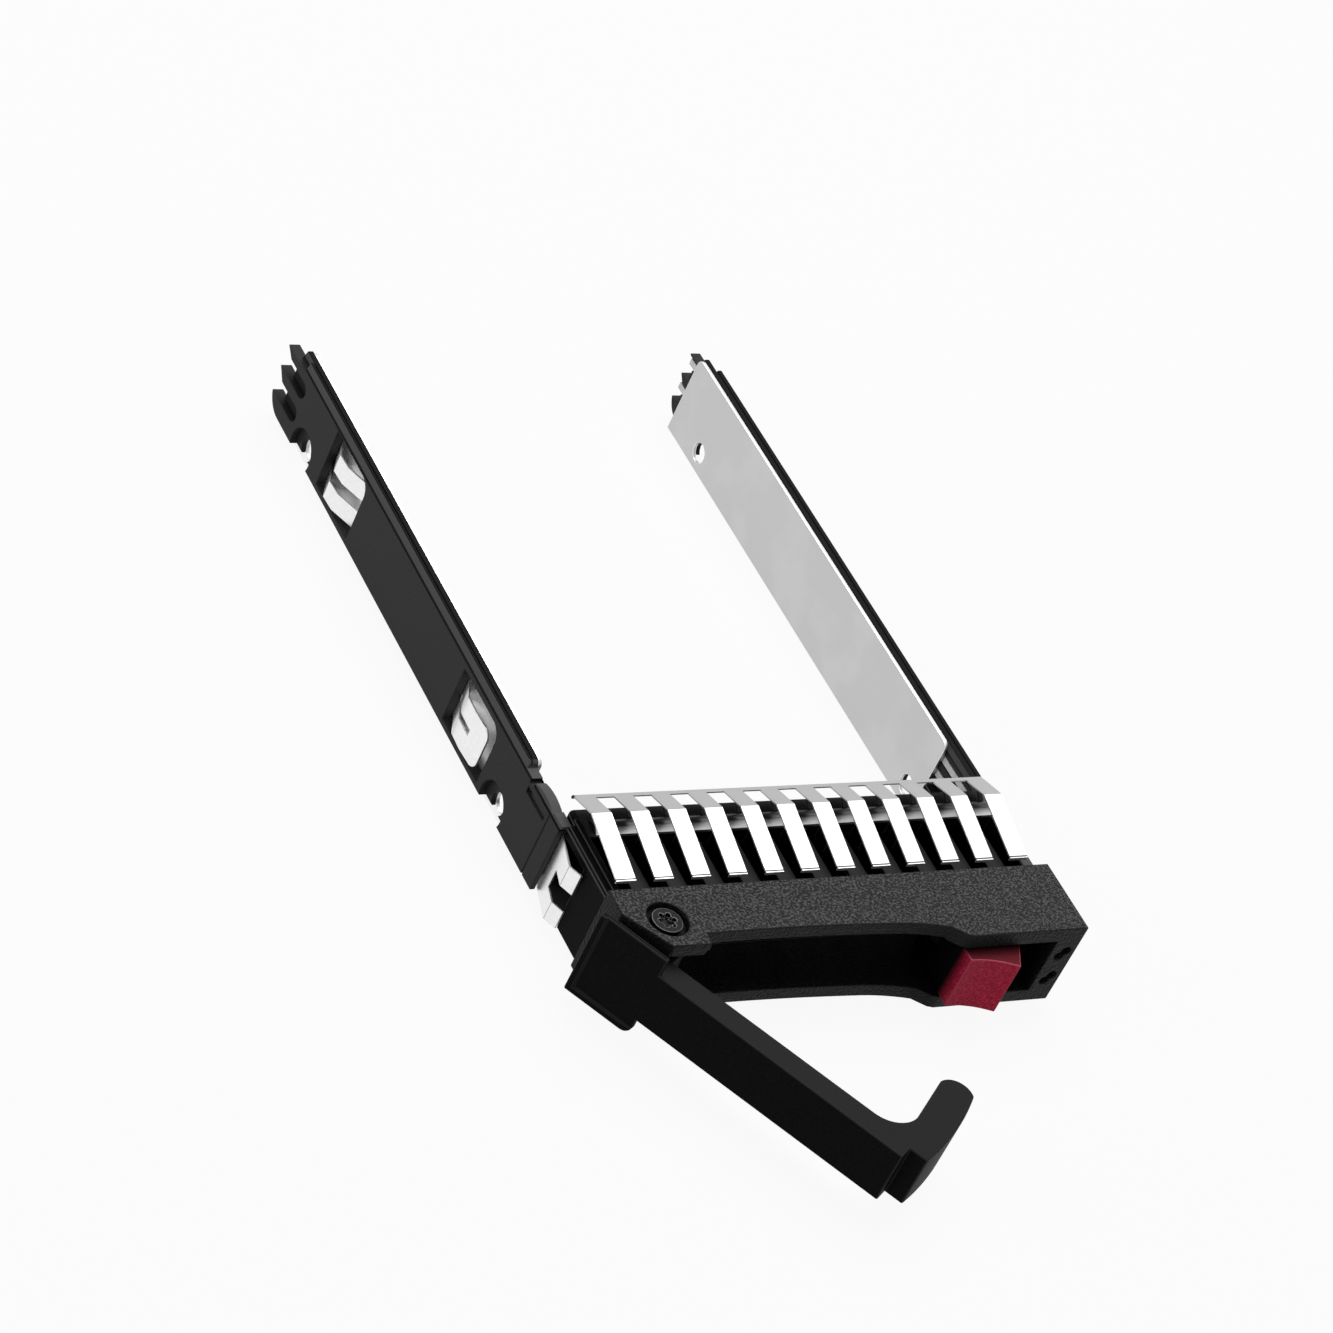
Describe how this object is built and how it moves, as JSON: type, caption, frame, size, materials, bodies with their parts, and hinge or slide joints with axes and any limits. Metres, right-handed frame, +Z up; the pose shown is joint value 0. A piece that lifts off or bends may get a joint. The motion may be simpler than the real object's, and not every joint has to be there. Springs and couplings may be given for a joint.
{
  "type": "hot swap drive caddy",
  "caption": "Caddy for a small server drive: textured bezel with a swing-out ejector lever and red release button, sprung fingers, and black rails with steel side plates.",
  "frame": {"origin": "middle of the bezel's bottom front edge", "axes": "+Y back along the way the caddy slides into its bay, +X to the right seen from the bezel, +Z up"},
  "size_m": [0.0797, 0.1694, 0.0187],
  "materials": {
    "cover_plastic": "fine grained",
    "frame_plastic": "moulded satin",
    "lever_plastic": "moulded satin, grained on top",
    "rail_plastic": "moulded satin",
    "red_plastic": "fine grained",
    "spring_steel": "bright",
    "plate_steel": "satin",
    "pin_steel": "turned",
    "spring_wire": "drawn",
    "black_steel": "black oxide",
    "clear_plastic": "clear rod"
  },
  "bodies": {
    "tray": {"front_bezel": "cover_plastic", "bezel_frame": "frame_plastic", "finger_strip": "spring_steel", "vent_screen": "plate_steel", "left_rail": "rail_plastic", "right_rail": "rail_plastic", "left_side_plate": "plate_steel", "right_side_plate": "plate_steel", "left_rear_spring": "spring_steel", "left_front_spring": "spring_steel", "right_rear_spring": "spring_steel", "right_front_spring": "spring_steel", "left_clip": "spring_steel", "left_rivets": "pin_steel", "right_rivets": "pin_steel", "pivot_screw": "black_steel", "pivot_bush": "pin_steel", "lever_spring": "spring_wire", "guide_pin": "pin_steel", "button_spring": "spring_wire", "light_pipe_upper": "clear_plastic", "light_pipe_lower": "clear_plastic"},
    "lever": {"ejector_lever": "lever_plastic"},
    "button": {"release_button": "red_plastic"}
  },
  "joints": [
    {"name": "lever_swing", "type": "hinge", "parent": "tray", "child": "lever", "pos_m": [-0.0312, 0.007, 0.0075], "axis": [0, 0, 1], "range_deg": [0, 57.66], "stiffness_Nm_per_rad": 0.0035, "springref_deg": -22.92, "deforming": ["lever_spring"]},
    {"name": "button_push", "type": "slide", "parent": "tray", "child": "button", "axis": [1, 0, 0], "range_m": [0, 0.0025], "stiffness_N_per_m": 300, "springref_m": -0.002, "deforming": ["button_spring"]}
  ]
}
